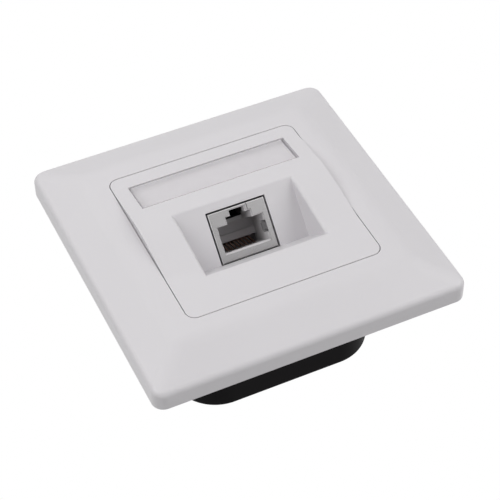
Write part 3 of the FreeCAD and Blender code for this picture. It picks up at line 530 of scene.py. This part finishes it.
@dataclass(frozen=True)
class BoardLaminate:
    """Circuit board: solder resist over a woven laminate, with copper tracks that show through."""

    name: str
    colour: Colour
    copper: Colour
    roughness: float = 0.3
    specular: float = 0.45
    tracks_per_metre: float = 180.0
    track_offset: float = 0.5
    track_width: float = 0.06
    track_share: float = 0.5
    weave: Pattern = Pattern(1900.0, 1.0)
    weave_roughness: float = 0.15
    weave_depth: float = 0.006 * MM

    def material(self) -> bpy.types.Material:
        """Builds the laminate.

        Returns:
            The new material.
        """
        board = Board.of_material(self.name)
        flat = board.turned((1.0, 1.0, 1.0), -SLANT)
        bricks = board.node("ShaderNodeTexBrick", {"offset": self.track_offset}, {
            "Vector": flat, "Scale": self.tracks_per_metre, "Mortar Size": self.track_width,
            "Color1": opaque(NO_LIGHT), "Color2": opaque(NO_LIGHT), "Mortar": opaque(FULL_LIGHT)})
        tracks = board.node("ShaderNodeRGBToBW", None, {"Color": bricks})
        weave = board.noise(self.weave, flat)
        return board.surface({
            "Base Color": board.mix(self.colour, self.copper, tracks * self.track_share),
            "Roughness": self.roughness + weave * self.weave_roughness,
            "Specular IOR Level": self.specular,
            "Normal": board.bump(weave, self.weave_depth)})


Finish = Union[MouldedPlastic, ClearPlastic, LabelPaper, PlatedSheet, SoftRubber, BoardLaminate]

WHITE = MouldedPlastic("white_moulding", (0.665, 0.648, 0.668), 0.36)
BLACK = MouldedPlastic("black_moulding", (0.0032, 0.0026, 0.0032), 0.5, specular=0.045, cloud=0.2,
                       grain_depth=0.01 * MM)
# The jack's body gets painted shade deep in its cavity
JACK_WHITE = CavityPlastic("jack_moulding", (0.62, 0.605, 0.615), 0.45, specular=0.3, cloud=0.03)
CARRIER_GREY = MouldedPlastic("carrier_moulding", (0.32, 0.305, 0.315), 0.5, specular=0.25, cloud=0.05)
BLOCK_CREAM = MouldedPlastic("terminal_moulding", (0.58, 0.56, 0.5), 0.45, cloud=0.03)
CLEAR = ClearPlastic("clear_strip", (0.825, 0.802, 0.825), 0.46)
PAPER = LabelPaper("label_paper", (0.89, 0.868, 0.89))
ZINC = PlatedSheet("zinc_sheet", (0.52, 0.53, 0.55), 0.4, Axis.ACROSS, spangle=0.6)
SCREW_STEEL = PlatedSheet("screw_steel", (0.55, 0.55, 0.56), 0.32, Axis.OUT)
NICKEL = PlatedSheet("nickel_sheet", (0.58, 0.57, 0.57), 0.3, Axis.ACROSS, SLANT)
# The shield gets painted highlights on its folds and cut edges and painted shade on its walls and all
# behind them
SHIELD = ShieldSheet("shield_sheet", (0.29, 0.284, 0.287), 0.3, Axis.ACROSS, SLANT)
GOLD = PlatedSheet("contact_gold", (0.34, 0.21, 0.155), 0.35, Axis.OUT, SLANT)
TIN = PlatedSheet("fork_tin", (0.55, 0.54, 0.52), 0.38, Axis.UP, SLANT)
RUBBER = SoftRubber("entry_rubber", (0.006, 0.006, 0.006))
LAMINATE = BoardLaminate("board_laminate", (0.008, 0.055, 0.02), (0.03, 0.11, 0.04))


@dataclass
class DressedGroup:
    """A sub-assembly whose pieces keep their CAD shape and get a finish each."""

    label: str
    finishes: Mapping[str, Finish]

    def dress(self, made: dict[str, bpy.types.Material]) -> None:
        """Puts the finishes on the pieces.

        Args:
            made: Materials built so far, by name, to which new ones are added.
        """
        for node, finish in self.finishes.items():
            if finish.name not in made:
                made[finish.name] = finish.material()
            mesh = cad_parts[node].data
            mesh.materials.clear()
            mesh.materials.append(made[finish.name])
            LOG.info("%s: %s in %s", self.label, node, finish.name)


@dataclass(frozen=True)
class Lamp:
    """A broad square lamp that faces the object."""

    name: str
    towards: Triple
    watts: float
    distance: float = 1.3
    size: float = 1.0

    def build(self) -> None:
        """Hangs the lamp in its direction from the object."""
        light = bpy.data.lights.new(self.name, "AREA")
        light.shape = "SQUARE"
        light.size = self.size
        light.energy = self.watts
        lamp = bpy.data.objects.new(self.name, light)
        towards = Vector(self.towards).normalized()
        lamp.location = towards * self.distance
        lamp.rotation_euler = towards.to_track_quat("Z", "Y").to_euler()
        bpy.context.collection.objects.link(lamp)


LAMPS = (
    Lamp("front_left_lamp", (-1.0, -1.0, 0.0), 7.0),
    Lamp("front_right_lamp", (1.0, -1.0, 0.0), 1.9),
    Lamp("front_top_lamp", (0.0, -1.0, 1.0), 2.6),
    Lamp("right_lamp", (1.0, -0.15, 0.0), 1.4),
    Lamp("left_top_lamp", (-1.0, -1.0, 1.0), 2.1),
    Lamp("right_low_lamp", (1.0, -1.0, -0.5), 4.8),
)


@dataclass
class Studio:
    """White sweep, soft lamps, even sky and the camera of the photograph."""

    eye_mm: Triple = (-118.566, -293.660, -259.297)
    right: Triple = (0.903834, 0.006819, -0.427829)
    up: Triple = (0.312790, -0.692803, 0.649759)
    back: Triple = (-0.291970, -0.721095, -0.628312)
    lens_mm: float = 120.369
    sensor_mm: float = 36.0
    nearest: float = 0.01
    lamps: Sequence[Lamp] = LAMPS
    sky: float = 0.25
    floor_z: float = -0.9
    floor_size: float = 6.0
    floor_cloud: Pattern = Pattern(3.0, 3.0)
    floor_dark: Colour = (0.84, 0.84, 0.84)
    floor_light: Colour = (0.88, 0.88, 0.88)
    floor_roughness: float = 0.7
    floor_cloud_roughness: float = 0.1
    floor_glow: float = 0.55

    def build(self) -> None:
        """Sets up everything around the object."""
        self._camera()
        self._sky()
        for lamp in self.lamps:
            lamp.build()
        self._floor()
        bpy.context.scene.view_settings.view_transform = "Standard"
        LOG.info("studio ready")

    def _camera(self) -> None:
        """Puts the camera where the photograph was taken from."""
        lens = bpy.data.cameras.new("photo_camera")
        lens.lens = self.lens_mm
        lens.sensor_width = self.sensor_mm
        lens.clip_start = self.nearest
        camera = bpy.data.objects.new("photo_camera", lens)
        turn = Matrix((self.right, self.up, self.back)).transposed().to_4x4()
        camera.matrix_world = Matrix.Translation(Vector(self.eye_mm) * MM) @ turn
        bpy.context.collection.objects.link(camera)
        bpy.context.scene.camera = camera

    @staticmethod
    def _seen(board: Board) -> Wire:
        """Tells what is seen from what only lights the object.

        Args:
            board: The board of the sky or the floor.

        Returns:
            1 for what is seen directly, in a reflection or through a clear piece, otherwise 0.
        """
        path = board.node("ShaderNodeLightPath")
        direct_or_mirrored = path.out("Is Camera Ray").larger(path.out("Is Glossy Ray"))
        return direct_or_mirrored.larger(path.out("Is Transmission Ray"))

    def _sky(self) -> None:
        """Even pale light all round, pure white where it is seen."""
        world = bpy.data.worlds.new("white_sweep")
        bpy.context.scene.world = world
        board = Board(world)
        strength = self.sky + self._seen(board) * (1.0 - self.sky)
        glow = board.node("ShaderNodeBackground", None,
                          {"Color": opaque(FULL_LIGHT), "Strength": strength})
        board.node("ShaderNodeOutputWorld", None, {"Surface": glow})

    def _floor(self) -> None:
        """A pale floor far below, which glows where it is seen."""
        bpy.ops.mesh.primitive_plane_add(size=self.floor_size, location=(0.0, 0.0, self.floor_z))
        floor = bpy.context.object
        floor.name = "pale_floor"
        board = Board.of_material("pale_floor")
        cloud = board.noise(self.floor_cloud)
        glow = shade(FULL_LIGHT, self.floor_glow)
        floor.data.materials.append(board.surface({
            "Base Color": board.mix(self.floor_dark, self.floor_light, cloud),
            "Roughness": self.floor_roughness + cloud * self.floor_cloud_roughness,
            "Emission Color": board.mix(NO_LIGHT, glow, self._seen(board)),
            "Emission Strength": 1.0}))


def groups() -> list[DressedGroup]:
    """Lists the sub-assemblies.

    Returns:
        Each sub-assembly with the finishes of its pieces.
    """
    return [
        DressedGroup("face", {"cover_frame": WHITE, "centre_plate": WHITE}),
        DressedGroup("label field", {"label_window": CLEAR, "label_card": PAPER}),
        DressedGroup("jack", {"jack_shield": SHIELD, "jack_body": JACK_WHITE,
                              "contact_carrier": CARRIER_GREY, "jack_contacts": GOLD}),
        DressedGroup("wall box side", {"support_plate": ZINC, "rear_housing": BLACK,
                                       "cable_grommet": RUBBER, "housing_screws": SCREW_STEEL}),
        DressedGroup("terminals", {"circuit_board": LAMINATE, "board_screws": SCREW_STEEL,
                                   "shield_clip": NICKEL,
                                   "idc_block_left": BLOCK_CREAM, "idc_block_right": BLOCK_CREAM,
                                   "idc_forks_left": TIN, "idc_forks_right": TIN}),
    ]


def main() -> None:
    """Dresses every sub-assembly and sets up the studio."""
    logging.basicConfig(level=logging.INFO, format="%(name)s: %(message)s")
    made: dict[str, bpy.types.Material] = {}
    for group in groups():
        group.dress(made)
    Studio().build()


if __name__ == "__main__":
    main()
